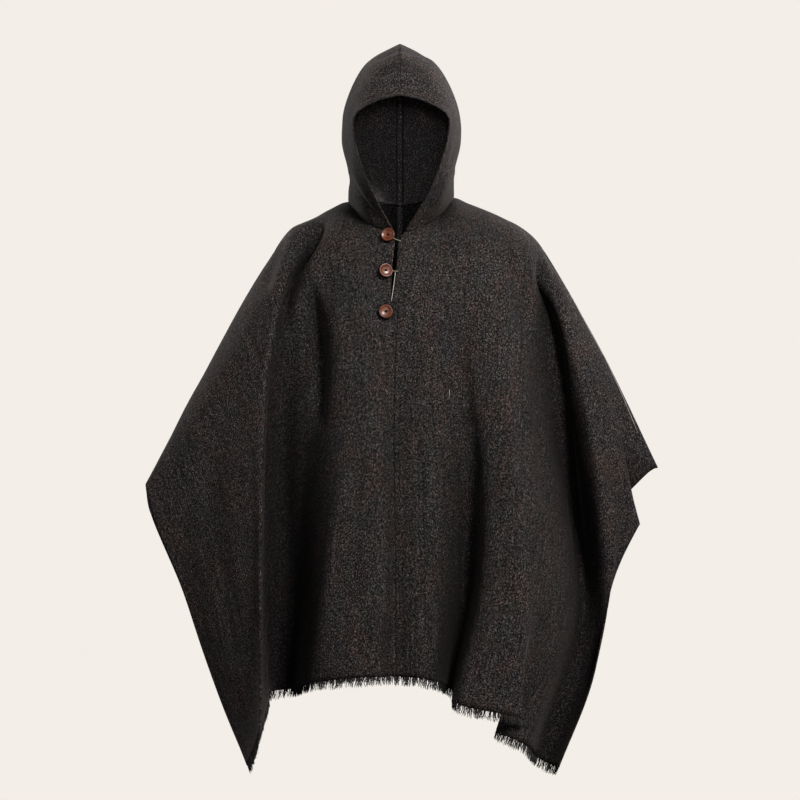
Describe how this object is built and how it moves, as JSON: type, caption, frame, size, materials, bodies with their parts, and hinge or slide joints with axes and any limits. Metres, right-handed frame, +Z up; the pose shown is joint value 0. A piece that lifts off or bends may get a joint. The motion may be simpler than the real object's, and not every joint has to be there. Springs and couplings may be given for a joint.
{
  "type": "hooded poncho",
  "caption": "Hooded wool poncho in its worn, hollow form, with sloped overarm seams, a part-open front seam closed by buttons, and self-fringed hems.",
  "frame": {"origin": "middle of the neck at the neck seam's height, where the garment is worn", "axes": "+Z up, -Y to the front of the garment, +X to the wearer's left"},
  "size_m": [0.9226, 0.4047, 1.3112],
  "materials": {
    "wool": "heathered charcoal wool twill, soft and matt",
    "fringe": "unwoven wool ends",
    "wood": "polished reddish-brown wood",
    "thread": "pale cotton cord"
  },
  "bodies": {
    "root": {"panel_front_right": "wool", "panel_front_left": "wool", "panel_back_right": "wool", "panel_back_left": "wool", "hood_right": "wool", "hood_left": "wool", "strip_hood": "wool", "strip_back": "wool", "fringe_front_right": "fringe", "fringe_front_left": "fringe", "fringe_back_right": "fringe", "fringe_back_left": "fringe", "button_top": "wood", "button_middle": "wood", "button_bottom": "wood", "loop_top": "thread", "loop_middle": "thread"}
  },
  "joints": []
}
